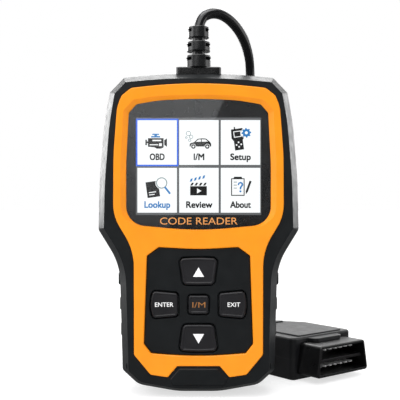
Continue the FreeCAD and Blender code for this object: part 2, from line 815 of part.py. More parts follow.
def placed(shape):
    moved = shape.copy()
    place = FreeCAD.Placement(PLUG_PLACE, TURN(V(0, 0, 1), PLUG_TURN))
    moved.Placement = place.multiply(shape.Placement)
    return moved


def plug_space():
    """The room inside the two halves of the housing."""
    return plan(inset(PLUG_PLAN, PLUG_WALL), PLUG_WALL, PLUG_H - PLUG_WALL)


def plug_openings():
    """The ways out of the housing for the insert and for the strain relief."""
    front = prism(inset(SHROUD, -0.1), -5, PLUG_WALL)
    rear = Part.makeCylinder(4.6, 6, V(0, PLUG_REAR - 4, PLUG_SPLIT), V(0, 1, 0))
    return [front, rear]


def plug_lower_shell():
    half = plan(PLUG_PLAN, 0, PLUG_SPLIT)
    half = half.makeFillet(0.8, [e for e in half.Edges if e.BoundBox.ZMax < 0.01])
    half = half.cut(plug_space())
    posts = [post(2.6, x, y, 1.0, PLUG_SPLIT) for x, y in PLUG_SCREWS]
    cuts = plug_openings()
    for x, y in PLUG_SCREWS:
        cuts.append(post(2.1, x, y, -1, 2.6))
        cuts.append(post(1.15, x, y, -1, PLUG_SPLIT + 1))
    return half.fuse(posts).cut(cuts)


def plug_upper_shell():
    half = plan(PLUG_PLAN, PLUG_SPLIT, PLUG_H)
    half = half.makeFillet(1.2, [e for e in half.Edges if e.BoundBox.ZMin > PLUG_H - 0.01])
    raised = []
    tongue = (TONGUE_PLAN, SHROUD_TOP + 0.1, TONGUE_TOP)
    panels = [(outline, PLUG_H - 1, PANEL_TOP) for outline in (PANEL_PLAN, REAR_RIB_PLAN)]
    for outline, low, high in [tongue] + panels:
        block = plan(outline, low, high)
        raised.append(block.makeFillet(0.4, [e for e in block.Edges if e.BoundBox.ZMin > high - 0.01]))
    half = half.fuse(raised).cut(plug_space())
    posts = [post(2.6, x, y, PLUG_SPLIT, PLUG_H - 1.0) for x, y in PLUG_SCREWS]
    cuts = plug_openings()
    for x, y in PLUG_SCREWS:
        cuts.append(post(0.85, x, y, PLUG_SPLIT - 1, PLUG_H - 3))
    return half.fuse(posts).cut(cuts)


def plug_insert():
    """The shroud with its base wall and the bar between the two rows of pins."""
    body = loft((SHROUD, 4.0), (SHROUD, -SHROUD_DEPTH + 0.5), (inset(SHROUD, 0.35), -SHROUD_DEPTH))
    mouth = prism(inset(SHROUD, SHROUD_WALL), -SHROUD_DEPTH - 1, 0.0)
    bar = box(-BAR[0], BAR[0], BAR[1], 0.5, BAR[2], BAR[3])
    flange = prism(inset(SHROUD, -0.7), PLUG_WALL, 4.0)
    body = body.cut(mouth).fuse([bar, flange])
    return body.cut(plug_pin_solids())


def plug_pin_solids():
    found = []
    for z in PIN_ROWS:
        for i in range(8):
            x = (i - 3.5) * PIN_PITCH
            blade = box(x - 0.75, x + 0.75, PIN_TIP + 0.6, 9.0, z - 0.5, z + 0.5)
            wide = wire(rectangle_at(x, 0.75, z - 0.5, z + 0.5, 0.05), PIN_TIP + 0.6)
            narrow = wire(rectangle_at(x, 0.45, z - 0.25, z + 0.25, 0.05), PIN_TIP)
            found.append(blade.fuse(Part.makeLoft([wide, narrow], True, True)))
    return found


def plug_pins():
    return group(plug_pin_solids())


def plug_screws():
    found = []
    for x, y in PLUG_SCREWS:
        head = post(1.9, x, y, 0.6, 2.5)
        shank = post(0.8, x, y, 2.5, PLUG_H - 4)
        slot = box(x - 1.2, x + 1.2, y - 0.3, y + 0.3, 0, 1.4)
        found.append(head.fuse(shank).cut(slot))
    return group(found)


def plug_strain_relief():
    """A tapered ribbed sleeve, trapped by its root between the housing's halves."""
    rings = [(5.0, 0.6, 3.6), (4.6, 4.8, 7.8), (4.2, 9.0, 12.0), (3.8, 13.2, 16.0)]
    shapes = [Part.makeCone(4.0, 3.1, 16.0)]
    for radius, z0, z1 in rings:
        ring = post(radius, 0, 0, z0, z1)
        shapes.append(ring.makeFillet(0.4, ring.Edges))
    shapes.append(post(4.4, 0, 0, -4.5, 0.8))
    shapes.append(post(6.2, 0, 0, -4.5, -2.2))
    sleeve = joined(shapes)
    sleeve.rotate(V(0, 0, 0), V(1, 0, 0), -90)
    sleeve.translate(V(0, PLUG_REAR, PLUG_SPLIT))
    return sleeve


# ---- writing ------------------------------------------------------------------
def build():
    nodes = {
        "front_shell": front_shell(),
        "back_shell": back_shell(),
        "trim_bezel": trim_bezel(),
        "rear_label": rear_label(),
        "display_lens": display_lens(),
        "lens_mask": lens_mask(),
        "lens_tape": lens_tape(),
        "lcd_frame": lcd_frame(),
        "lcd_panel": lcd_panel(),
        "lcd_backlight": lcd_backlight(),
        "lcd_flex": lcd_flex(),
        "lcd_socket": lcd_socket(),
        "keypad_mat": keypad_mat(),
        "key_domes": key_domes(),
        "key_contacts": key_contacts(),
        "main_board": main_board(),
        "crystal": crystal(),
        "power_inductor": power_inductor(),
        "electrolytic_capacitors": electrolytic_capacitors(),
        "ceramic_capacitors": ceramic_capacitors(),
        "board_screws": board_screws(),
        "case_screws": case_screws(),
        "cable_header": cable_header(),
        "harness_plug": harness_plug(),
        "harness_wires": harness_wires(),
        "strain_relief": strain_relief(),
        "cable_lead": cord_tube("cable_lead", LEAD_ROUTE),
        "cable_coil": cable_coil(),
        "cable_tail": cord_tube("cable_tail", TAIL_ROUTE),
        "plug_lower_shell": placed(plug_lower_shell()),
        "plug_upper_shell": placed(plug_upper_shell()),
        "plug_insert": placed(plug_insert()),
        "plug_pins": placed(plug_pins()),
        "plug_screws": placed(plug_screws()),
        "plug_strain_relief": placed(plug_strain_relief()),
    }
    for name in CHIPS:
        nodes[name] = chips(name)
    for name, outline in KEYS.items():
        nodes[f"key_{name}"] = key_cap(outline)
        nodes[f"pill_{name}"] = carbon_pill(outline)
    return nodes


os.makedirs("parts", exist_ok=True)
for name, shape in build().items():
    good = shape.isValid() and all(s.Volume > 0 for s in shape.Solids)
    print(f"{name}: solids {len(shape.Solids)}, volume {shape.Volume:.1f}{'' if good else '  NOT VALID'}")
    shape.exportStep(f"parts/{name}.step")
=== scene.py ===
"""The looks of a hand-held code reader: its cable, legends, lit display, materials and a plain studio.

Sizes and places are in millimetres in the frame's axes, and at() and MM turn them into metres.
"""

import math

import bmesh
import bpy
from mathutils import Matrix, Vector


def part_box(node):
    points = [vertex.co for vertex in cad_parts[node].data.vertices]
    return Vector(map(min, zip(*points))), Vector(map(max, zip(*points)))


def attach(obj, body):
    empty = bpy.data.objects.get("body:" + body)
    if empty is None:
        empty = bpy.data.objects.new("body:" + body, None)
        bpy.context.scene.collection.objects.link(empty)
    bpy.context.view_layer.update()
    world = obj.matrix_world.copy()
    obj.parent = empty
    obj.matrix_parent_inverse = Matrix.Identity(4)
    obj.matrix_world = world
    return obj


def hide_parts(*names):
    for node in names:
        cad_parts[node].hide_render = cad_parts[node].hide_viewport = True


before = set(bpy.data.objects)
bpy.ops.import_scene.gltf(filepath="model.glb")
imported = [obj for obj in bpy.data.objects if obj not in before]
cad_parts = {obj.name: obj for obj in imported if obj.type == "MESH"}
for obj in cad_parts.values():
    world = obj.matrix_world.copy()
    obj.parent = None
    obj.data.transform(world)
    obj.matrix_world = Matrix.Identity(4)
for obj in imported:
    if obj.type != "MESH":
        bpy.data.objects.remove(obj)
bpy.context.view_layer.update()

MM = 0.001


def at(x, y, z):
    return Vector((x * MM, y * MM, z * MM))


# ---- depths and places that the frame gives ---------------------------------------
def low(node):
    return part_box(node)[0] / MM


def high(node):
    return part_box(node)[1] / MM


LENS_FRONT = low("display_lens").y
LENS_BACK = high("display_lens").y
PANEL_FRONT = low("lcd_panel").y
KEY_FRONT = low("key_up").y
PICTURE_RISE = 0.8  # the lit picture's middle above the panel's middle
SCREEN_Z = (low("lcd_panel").z + high("lcd_panel").z) / 2 + PICTURE_RISE

# ---- camera -------------------------------------------------------------------------
CAMERA = (0.69, -367.0, 91.15)
LENS_LENGTH = 68.5
SENSOR = 36.0
CLIP_START = 0.01  # metres


def make_camera():
    data = bpy.data.cameras.new("camera")
    data.lens = LENS_LENGTH
    data.sensor_width = SENSOR
    data.clip_start = CLIP_START
    camera = bpy.data.objects.new("camera", data)
    camera.location = at(*CAMERA)
    camera.rotation_euler = (math.radians(90), 0, 0)
    bpy.context.scene.collection.objects.link(camera)
    bpy.context.scene.camera = camera


make_camera()

# ---- cable ----------------------------------------------------------------------------
CABLE_D = 5.0
COIL_CENTRE = (-9.0, 52.0)
COIL_R = 30.0
COIL_TOP = 15.6
COIL_TURNS = 2.25
COIL_START = -90.0
COIL_STEP = 22.5

CABLE_EXIT_Y = -2.0

LEAD_ROUTE = [
    (0.0, CABLE_EXIT_Y, 171.0),
    (0.4, -1.8, 177.2),
    (5.0, 0.0, 181.5),
    (12.6, 4.2, 181.5),
    (20.6, 10.0, 175.0),
    (25.4, 17.5, 165.6),
    (26.6, 23.6, 154.0),
    (26.0, 24.4, 132.0),
    (26.8, 23.4, 106.0),
    (26.0, 24.2, 82.0),
    (26.8, 23.4, 58.0),
    (24.8, 23.6, 38.0),
    (18.0, 22.8, 24.0),
    (6.0, 22.4, 17.0),
]
TAIL_ROUTE = [
    (-38.4, 63.0, 2.5),
    (-34.9, 73.9, 2.5),
    (-28.6, 83.8, 2.5),
    (-19.2, 92.2, 2.5),
    (-7.3, 96.6, 3.0),
    (5.3, 96.2, 5.6),
    (17.3, 89.3, 9.2),
    (24.8, 79.9, 10.6),
]


def coil_route():
    """The coil's turns, clockwise as seen from above and down to the floor."""
    steps = round(360 * COIL_TURNS / COIL_STEP)
    points = []
    for i in range(steps + 1):
        angle = math.radians(COIL_START - COIL_STEP * i)
        z = COIL_TOP - (COIL_TOP - CABLE_D / 2) * i / steps
        x = COIL_CENTRE[0] + COIL_R * math.cos(angle)
        y = COIL_CENTRE[1] + COIL_R * math.sin(angle)
        points.append((x, y, z))
    return points


def make_cable(material):
    curve = bpy.data.curves.new("cable", "CURVE")
    curve.dimensions = "3D"
    curve.bevel_depth = CABLE_D / 2 * MM
    curve.bevel_resolution = 8
    curve.resolution_u = 10
    curve.use_fill_caps = True
    spline = curve.splines.new("NURBS")
    route = LEAD_ROUTE + coil_route() + TAIL_ROUTE
    spline.points.add(len(route) - 1)
    for point, place in zip(spline.points, route):
        point.co = (*at(*place), 1.0)
    spline.order_u = 3
    spline.use_endpoint_u = True
    curve.materials.append(material)
    cable = bpy.data.objects.new("cable", curve)
    bpy.context.scene.collection.objects.link(cable)
    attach(cable, "casing")
    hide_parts("cable_lead", "cable_coil", "cable_tail")


# ---- materials ------------------------------------------------------------------------
NOISE_LOW, NOISE_HIGH = 0.3, 0.7  # nearly all of a noise lies between these
BEVEL_SAMPLES = 6


class Shader:
    """A material under construction: its Principled node and the nodes that feed it."""

    def __init__(self, name, roughness, metallic=0.0, specular=0.5):
        self.material = bpy.data.materials.new(name)
        self.material.use_nodes = True
        self.tree = self.material.node_tree
        self.main = self.tree.nodes["Principled BSDF"]
        self.main.inputs["Roughness"].default_value = roughness
        self.main.inputs["Metallic"].default_value = metallic
        self.main.inputs["Specular IOR Level"].default_value = specular
        self.place = self.add("ShaderNodeTexCoord").outputs["Object"]

    def add(self, kind, **values):
        node = self.tree.nodes.new(kind)
        for key, value in values.items():
            setattr(node, key, value)
        return node

    def link(self, source, target):
        self.tree.links.new(source, target)

    def noise(self, size_mm, detail=2.0, stretch=(1, 1, 1)):
        """Noise whose features are about size_mm across, 0 to 1."""
        mapping = self.add("ShaderNodeMapping")
        mapping.inputs["Scale"].default_value = stretch
        self.link(self.place, mapping.inputs["Vector"])
        noise = self.add("ShaderNodeTexNoise")
        noise.inputs["Scale"].default_value = 1 / (size_mm * MM)
        noise.inputs["Detail"].default_value = detail
        self.link(mapping.outputs["Vector"], noise.inputs["Vector"])
        return noise.outputs["Fac"]

    def ramp(self, factor, stops):
        """Colours along a factor: stops are (position, (r, g, b))."""
        node = self.add("ShaderNodeValToRGB")
        elements = node.color_ramp.elements
        while len(elements) < len(stops):
            elements.new(0.5)
        for element, (position, colour) in zip(elements, stops):
            element.position = position
            element.color = (*colour, 1.0)
        self.link(factor, node.inputs["Fac"])
        return node.outputs["Color"]

    def colour(self, source):
        self.link(source, self.main.inputs["Base Color"])

    def roughness(self, factor, lowest, highest):
        spread = self.add("ShaderNodeMapRange")
        spread.inputs["From Min"].default_value = NOISE_LOW
        spread.inputs["From Max"].default_value = NOISE_HIGH
        spread.inputs["To Min"].default_value = lowest
        spread.inputs["To Max"].default_value = highest
        self.link(factor, spread.inputs["Value"])
        self.link(spread.outputs["Result"], self.main.inputs["Roughness"])

    def bump(self, height, depth_mm, edge_mm=0.0):
        """Bump from a height, on edges rounded by edge_mm."""
        node = self.add("ShaderNodeBump")
        node.inputs["Distance"].default_value = depth_mm * MM
        self.link(height, node.inputs["Height"])
        if edge_mm:
            edge = self.add("ShaderNodeBevel", samples=BEVEL_SAMPLES)
            edge.inputs["Radius"].default_value = edge_mm * MM
            self.link(edge.outputs["Normal"], node.inputs["Normal"])
        self.link(node.outputs["Normal"], self.main.inputs["Normal"])


def shade(colour, factor):
    return tuple(min(1.0, c * factor) for c in colour)


def moulded(name, colour, roughness, grain_mm=0.35, depth_mm=0.02, edge_mm=0.25,
            specular=0.5, spread=0.15):
    """Moulded plastic or rubber: fine spark-eroded grain, patchy sheen and slightly uneven colour."""
    made = Shader(name, roughness, specular=specular)
    patches = [(NOISE_LOW, shade(colour, 1 - spread)), (NOISE_HIGH, shade(colour, 1 + spread))]
    made.colour(made.ramp(made.noise(9.0, 4.0), patches))
    made.roughness(made.noise(4.0, 3.0), roughness - 0.05, roughness + 0.05)
    made.bump(made.noise(grain_mm, 2.0), depth_mm, edge_mm=edge_mm)
    return made.material


def metal(name, colour, roughness, stretch=(1, 1, 1), metallic=1.0):
    """Metal with fine marks, finer still along any axis that stretch scales up."""
    made = Shader(name, roughness, metallic=metallic)
    marks = made.noise(0.3, 3.0, stretch)
    made.colour(made.ramp(marks, [(NOISE_LOW, shade(colour, 0.8)), (NOISE_HIGH, colour)]))
    made.roughness(marks, roughness - 0.08, roughness + 0.1)
    made.bump(marks, 0.004, edge_mm=0.05)
    return made.material


def printed(name, colour):
    """Screen-printed ink, slightly uneven in colour and thickness."""
    made = Shader(name, 0.45)
    patches = [(NOISE_LOW, shade(colour, 0.9)), (NOISE_HIGH, shade(colour, 1.04))]
    made.colour(made.ramp(made.noise(0.5, 3.0), patches))
    made.bump(made.noise(0.12, 1.0), 0.004)
    return made.material


def lit(name, colour, strength):
    """A colour on the lit display, with a faint fine ripple in its brightness."""
    made = Shader(name, 0.6, specular=0.1)
    ripple = made.noise(0.16, 0.0)
    glow = made.ramp(ripple, [(0.2, shade(colour, 0.97)), (0.8, colour)])
    made.main.inputs["Base Color"].default_value = (0.003, 0.003, 0.003, 1.0)
    made.main.inputs["Emission Strength"].default_value = strength
    made.link(glow, made.main.inputs["Emission Color"])
    return made.material


def clear_lens():
    """Clear acrylic: transparent with a polished front and a very faint tint.

    Only the front face reflects: light isn't bent here, so the back face would mirror too much.
    """
    made = Shader("lens_acrylic", 0.03)
    clear = made.add("ShaderNodeBsdfTransparent")
    clear.inputs["Color"].default_value = (0.985, 0.99, 0.99, 1.0)
    gloss = made.add("ShaderNodeBsdfGlossy")
    gloss.inputs["Color"].default_value = (0.96, 0.98, 1.0, 1.0)
    haze = made.noise(30.0, 2.0)
    spread = made.add("ShaderNodeMapRange")
    spread.inputs["To Min"].default_value = 0.01
    spread.inputs["To Max"].default_value = 0.03
    made.link(haze, spread.inputs["Value"])
    made.link(spread.outputs["Result"], gloss.inputs["Roughness"])
    edge = made.add("ShaderNodeFresnel")
    edge.inputs["IOR"].default_value = 1.49
    mix = made.add("ShaderNodeMixShader")
    made.link(edge.outputs["Fac"], mix.inputs["Fac"])
    made.link(clear.outputs["BSDF"], mix.inputs[1])
    made.link(gloss.outputs["BSDF"], mix.inputs[2])
    faces = made.add("ShaderNodeMixShader")
    made.link(made.add("ShaderNodeNewGeometry").outputs["Backfacing"], faces.inputs["Fac"])
    made.link(mix.outputs["Shader"], faces.inputs[1])
    made.link(clear.outputs["BSDF"], faces.inputs[2])
    made.link(faces.outputs["Shader"], made.tree.nodes["Material Output"].inputs["Surface"])
    made.tree.nodes.remove(made.main)
    return made.material


def circuit_board():
    """Green solder mask with darker ground areas and lighter tracks."""
    made = Shader("solder_mask", 0.3)
    cells = made.add("ShaderNodeTexVoronoi", feature="DISTANCE_TO_EDGE", distance="CHEBYCHEV")
    cells.inputs["Scale"].default_value = 1 / (2.4 * MM)
    made.link(made.place, cells.inputs["Vector"])
    green = [(0.02, (0.02, 0.20, 0.07)), (0.06, (0.008, 0.09, 0.035))]
    made.colour(made.ramp(cells.outputs["Distance"], green))
    made.bump(cells.outputs["Distance"], 0.03)
    return made.material


def dress(material, *nodes):
    """Gives CAD nodes their material."""
    for name in nodes:
        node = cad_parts[name]
        if not node.material_slots:
            node.data.materials.append(material)
        for place in node.material_slots:
            place.material = material


CASING = (0.0068, 0.0084, 0.0096)
KEY = (0.0130, 0.0126, 0.0148)
ORANGE = (0.90, 0.285, 0.006)
WHITE_INK = (0.95, 0.95, 0.95)
DIM_ORANGE_INK = (0.34, 0.135, 0.03)
BRIGHT_ORANGE_INK = (0.85, 0.36, 0.09)
KEY_NAMES = ("up", "down", "enter", "exit", "centre")


def dress_casing():
    dress(moulded("casing_plastic", CASING, 0.42, 0.3, 0.012, specular=0.4), "front_shell", "back_shell")
    dress(moulded("trim_plastic", ORANGE, 0.36, 0.25, 0.004, 0.3, specular=0.3, spread=0.04), "trim_bezel")
    dress(moulded("label_film", (0.30, 0.31, 0.32), 0.35, 0.15, 0.003, 0.0, spread=0.02), "rear_label")
    dress(clear_lens(), "display_lens")
    dress(moulded("mask_ink", (0.006, 0.006, 0.007), 0.3, 0.2, 0.002, 0.0), "lens_mask")
    dress(moulded("tape_foam", (0.05, 0.05, 0.055), 0.9, 0.4, 0.03, 0.0), "lens_tape")
    steel = metal("case_steel", (0.55, 0.56, 0.58), 0.3)
    dress(steel, "lcd_frame", "case_screws", "board_screws", "plug_screws")
    relief = moulded("relief_rubber", (0.0045, 0.005, 0.0056), 0.24, 0.4, 0.006, 0.25, specular=1.0)
    dress(relief, "strain_relief", "plug_strain_relief")


def dress_keys():
    dress(moulded("key_rubber", KEY, 0.40, 0.22, 0.010, 0.18), *[f"key_{name}" for name in KEY_NAMES])
    dress(moulded("silicone", (0.09, 0.095, 0.10), 0.6), "keypad_mat", "key_domes")
    dress(moulded("carbon", (0.01, 0.01, 0.01), 0.85), *[f"pill_{name}" for name in KEY_NAMES])
    dress(metal("gold_plate", (0.85, 0.58, 0.22), 0.25), "key_contacts")


def dress_inside():
    dress(circuit_board(), "main_board")
    chips = ["microcontroller", "flash_memory", "bus_transceivers", "voltage_regulator"]
    dress(moulded("chip_epoxy", (0.014, 0.014, 0.015), 0.55, 0.2, 0.01, 0.05), *chips)
    dress(metal("drawn_can", (0.78, 0.79, 0.80), 0.25, (1, 8, 1)), "crystal", "electrolytic_capacitors")
    dress(moulded("ferrite", (0.03, 0.03, 0.032), 0.7, 0.3, 0.03), "power_inductor")
    dress(moulded("ceramic", (0.42, 0.27, 0.14), 0.5, 0.1, 0.01, 0.05), "ceramic_capacitors")
    dress(moulded("nylon", (0.72, 0.70, 0.62), 0.45), "cable_header", "harness_plug")
    dress(moulded("wire_sheath", (0.45, 0.03, 0.02), 0.4), "harness_wires")
    dress(moulded("panel_glass", (0.03, 0.03, 0.035), 0.12, 0.3, 0.001, 0.0), "lcd_panel")
    dress(moulded("light_guide", (0.8, 0.82, 0.84), 0.4), "lcd_backlight")
    dress(moulded("polyimide", (0.45, 0.16, 0.02), 0.3), "lcd_flex")
    dress(moulded("socket_plastic", (0.02, 0.02, 0.02), 0.5), "lcd_socket")


def dress_plug():
    shell = moulded("plug_plastic", (0.0062, 0.0066, 0.0078), 0.40, 0.35, 0.015)
    dress(shell, "plug_lower_shell", "plug_upper_shell")
    dress(moulded("insert_plastic", (0.0025, 0.0025, 0.003), 0.32, 0.3, 0.006, 0.4), "plug_insert")
    dress(metal("pin_plate", (0.95, 0.95, 0.94), 0.45, (1, 6, 1), metallic=0.1), "plug_pins")


# ---- flat drawn pieces -----------------------------------------------------------------
def stand_up(mesh, x, y, z):
    """Turns a mesh drawn in XY to face -Y, and puts it at x, y, z, all in millimetres."""
    upright = Matrix.Rotation(math.radians(90), 4, "X")
    mesh.transform(Matrix.Translation(at(x, y, z)) @ upright @ Matrix.Scale(MM, 4))


def as_mesh(curve):
    """The mesh that a filled curve or a text makes."""
    holder = bpy.data.objects.new(curve.name, curve)
    bpy.context.scene.collection.objects.link(holder)
    mesh = bpy.data.meshes.new_from_object(holder.evaluated_get(bpy.context.evaluated_depsgraph_get()))
    bpy.data.objects.remove(holder)
    return mesh


def finished(name, mesh, material, body, slot, **placing):
    """The drawn mesh as a piece riding on its body."""
    stand_up(mesh, **placing)
    mesh.materials.clear()
    mesh.materials.append(material)
    piece = bpy.data.objects.new(name, mesh)
    bpy.context.scene.collection.objects.link(piece)
    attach(piece, body)
    return piece


def shape_mesh(outlines, thick):
    """A thin plate with one outer outline of (x, z) points and any holes in it."""
    curve = bpy.data.curves.new("shape", "CURVE")
    curve.dimensions = "2D"
    curve.fill_mode = "BOTH"
    curve.extrude = thick / 2
    for outline in outlines:
        spline = curve.splines.new("POLY")
        spline.points.add(len(outline) - 1)
        for point, (px, pz) in zip(spline.points, outline):
            point.co = (px, pz, 0.0, 1.0)
        spline.use_cyclic_u = True
    return as_mesh(curve)


def drawn(name, shapes, y, thick, material, slot, body="casing", z=0.0):
    """Thin plates in one piece; each shape is its outer outline and then its holes."""
    whole = bmesh.new()
    for outlines in shapes:
        whole.from_mesh(shape_mesh(outlines, thick))
    mesh = bpy.data.meshes.new(name)
    whole.to_mesh(mesh)
    whole.free()
    return finished(name, mesh, material, body, slot, x=0.0, y=y, z=z)


def text_mesh(words):
    """Flat words at the font's own size, centred on x."""
    curve = bpy.data.curves.new("words", "FONT")
    curve.body = words
    curve.align_x = "CENTER"
    curve.size = 1.0
    curve.resolution_u = 4
    return as_mesh(curve)


def extent(mesh, axis):
    places = [vertex.co[axis] for vertex in mesh.vertices]
    return max(places) - min(places)


def lettering(name, words, x, z, width, height, y, thick, material, slot, body="casing", heavier=0.0):
    """Words centred on x with their capitals centred on z, width and capital height as given.

    The strokes are widened by laying four copies of the words, each moved by heavier along x and z.
    The copies are flat, and stand apart through the thickness so that none share a plane.
    """
    flat = text_mesh(words)
    scale_x = (width - 2 * heavier) / extent(flat, 0)
    scale_z = (height - 2 * heavier) / extent(text_mesh("H"), 1)
    whole = bmesh.new()
    corners = [(1, 1), (1, -1), (-1, 1), (-1, -1)] if heavier else [(0, 0)]
    for number, (across, up) in enumerate(corners):
        copy = flat.copy()
        shift = Vector((across * heavier, up * heavier, thick * (0.5 - number / len(corners))))
        sized = Matrix.Diagonal((scale_x, scale_z, 1.0, 1.0))
        copy.transform(Matrix.Translation(shift) @ sized)
        whole.from_mesh(copy)
    mesh = bpy.data.meshes.new(name)
    whole.to_mesh(mesh)
    whole.free()
    foot = z - height / 2 + heavier
    return finished(name, mesh, material, body, slot, x=x, y=y, z=foot)


def circle(x, z, radius, count=32):
    turn = [2 * math.pi * i / count for i in range(count)]
    return [(x + radius * math.cos(a), z + radius * math.sin(a)) for a in turn]


def rectangle(x0, z0, x1, z1):
    return [(x0, z0), (x1, z0), (x1, z1), (x0, z1)]


def ring(x, z, outer, inner):
    return [circle(x, z, outer), circle(x, z, inner)]


def frame_of(x0, z0, x1, z1, line):
    """A rectangle drawn with a line."""
    return [rectangle(x0, z0, x1, z1), rectangle(x0 + line, z0 + line, x1 - line, z1 - line)]


def turned(outline, degrees):
    c = math.cos(math.radians(degrees))
    s = math.sin(math.radians(degrees))
    return [(px * c - pz * s, px * s + pz * c) for px, pz in outline]


def moved(shapes, x, z, degrees=0.0):
    """Shapes turned about their origin and then shifted."""
    def placed(outline):
        return [(px + x, pz + z) for px, pz in turned(outline, degrees)]

    return [[placed(outline) for outline in shape] for shape in shapes]


def plain(*outlines):
    """Shapes without holes."""
    return [[outline] for outline in outlines]


# ---- the lit display --------------------------------------------------------------------
SCREEN_HALF = (29.2, 22.9)
CELL_X = (-19.3, 0.2, 19.6)
CELL_Z = (11.2, -11.1)
CELL_HALF = (9.2, 10.45)
FOCUS_HALF = (9.9, 11.1)
FOCUS_LINE = 0.75
LAYER = 0.03
LEAN = 8.0  # degrees, of the reader icon and the book


# Each icon is a list of (ink, shapes), painted in that order, about the middle of its cell.
def engine_icon():
    block = [(-4.3, 2.0), (3.0, 2.0), (3.0, -2.3), (1.8, -2.9), (-0.2, -2.9), (-1.2, -2.3), (-4.3, -2.0)]
    fan = [(3.3, -1.2), (4.6, -2.0), (4.6, 1.9), (3.3, 1.1)]
    shaft = plain(rectangle(-5.5, -1.3, -4.8, 1.3), rectangle(-4.8, -0.35, -4.3, 0.45), fan)
    cover = [rectangle(-2.8, 2.3, 1.4, 3.0), rectangle(-2.3, 3.5, 0.9, 4.1),
             rectangle(-1.3, 3.0, -0.1, 3.5)]
    slots = [rectangle(-2.2, 0.6, 1.9, 1.25), rectangle(-3.5, -1.3, 0.5, -0.85)]
    marks = slots + [rectangle(0.9, -1.7, 2.2, -0.4)]
    return [("black", plain(block) + shaft), ("blue", plain(*cover)), ("white", plain(*marks))]


def car_icon():
    body = [(-4.4, -1.9), (-4.3, -0.6), (-3.6, -0.2), (-2.2, 0.2), (-0.6, 1.7), (1.4, 1.95), (3.4, 1.8),
            (5.2, 0.2), (5.7, -0.6), (5.7, -1.9)]
    front = [(-1.5, 0.3), (-0.3, 1.35), (0.9, 1.45), (0.9, 0.35)]
    rear = [(1.3, 0.35), (1.3, 1.45), (3.2, 1.35), (4.2, 0.4)]
    wheels = (-2.6, 3.9)
    arches = plain(*[circle(x, -1.9, 1.25) for x in wheels])
    tyres = [ring(x, -1.9, 1.05, 0.45) for x in wheels]
    places = ((-4.9, 4.2, 1.2), (-3.6, 2.6, 0.95), (-5.9, 2.3, 0.55), (-4.3, 1.0, 0.7))
    puffs = [ring(x, z, radius, radius - 0.3) for x, z, radius in places]
    windows = plain(front, rear)
    return [("black", plain(body)), ("white", windows + arches), ("black", tyres), ("grey", puffs)]


def reader_icon():
    body = [(-3.6, 6.6), (1.8, 6.6), (2.1, 2.3), (1.2, 1.0), (1.2, -3.4), (-3.0, -3.4), (-3.0, 1.0),
            (-3.9, 2.3)]
    stub = rectangle(-2.2, 6.4, -1.6, 7.6)
    screen = frame_of(-2.7, 2.6, 0.9, 5.5, 0.35)
    keys = [circle(x, z, 0.4, 12) for x, z in ((-0.9, 0.2), (-0.9, -1.9), (-2.0, -0.9), (0.2, -0.9))]
    gear = (2.7, 4.5)
    teeth = []
    for i in range(32):
        radius = 2.3 if i % 4 < 2 else 1.75
        angle = 2 * math.pi * i / 32
        teeth.append((gear[0] + radius * math.cos(angle), gear[1] + radius * math.sin(angle)))
    halo = plain(circle(*gear, 2.5))
    outside = moved(plain(body, stub), 0, 0, LEAN)
    inside = moved([screen] + plain(*keys), 0, 0, LEAN)
    return [("black", outside), ("white", inside + halo), ("blue", [[teeth, circle(*gear, 0.7)]])]


def lookup_icon():
    book = moved(plain(rectangle(-4.9, -3.0, 1.0, 4.4)), 0, 0, LEAN)
    line = moved(plain(rectangle(-4.0, -0.8, -0.6, -0.4), rectangle(-4.0, -1.9, -1.4, -1.5)), 0, 0, LEAN)
    glass = (2.1, 3.4)
    handle = moved(plain(rectangle(2.4, -0.45, 6.4, 0.45)), *glass, -52)
    halo = plain(circle(*glass, 2.9))
    rim = [ring(*glass, 2.65, 2.15)]
    return [("black", book), ("white", halo + line), ("grey", rim), ("blue", handle)]


def review_icon():
    board = rectangle(-4.1, -2.4, 3.7, 1.9)
    arrow = [(-0.9, 0.9), (-0.9, -1.5), (1.1, -0.3)]
    stripes = plain(*[[(x, 0), (x + 1.0, 0), (x + 1.8, 1.3), (x + 0.8, 1.3)] for x in (0, 2.0, 4.0, 6.0)])
    return [("black", plain(board) + moved(stripes, -4.1, 2.2)), ("white", plain(arrow)),
            ("blue", moved(stripes, -4.3, 3.9, 14))]


def about_icon():
    clip = [(-3.4, 5.2), (0.9, 5.2), (0.5, 6.3), (-3.0, 6.3)]
    pen = [(0, -2.2), (0.5, -0.8), (0.5, 4.4), (-0.5, 4.4), (-0.5, -0.8)]
    lines = plain(*[rectangle(-3.2, z, -1.7, z + 0.4) for z in (3.6, 2.2, 0.8)])
    hook = [(-1.35, 2.4), (-1.05, 3.5), (0.0, 3.95), (1.0, 3.5), (1.3, 2.5), (0.4, 1.2), (0.3, 0.4),
            (-0.4, 0.4), (-0.35, 1.4), (0.5, 2.6), (0.35, 3.0), (-0.1, 3.2), (-0.55, 3.0), (-0.65, 2.4)]
    mark = plain(hook, circle(-0.05, -0.5, 0.5, 12))
    sheet = [frame_of(-4.4, -2.6, 1.9, 5.6, 0.45)] + plain(clip)
    return [("black", sheet + moved(plain(pen), 3.2, 0.2, -20)), ("grey", lines), ("blue", mark)]


ICONS = (engine_icon, car_icon, reader_icon, lookup_icon, review_icon, about_icon)
# Each label's words and width, in the order of the icons.
LABELS = (("OBD", 7.0), ("I/M", 5.0), ("Setup", 9.6), ("Lookup", 12.1), ("Review", 12.3), ("About", 9.7))
LABEL_DROP = 6.7
LABEL_HEIGHT = 3.1
LABEL_HEAVIER = 0.12


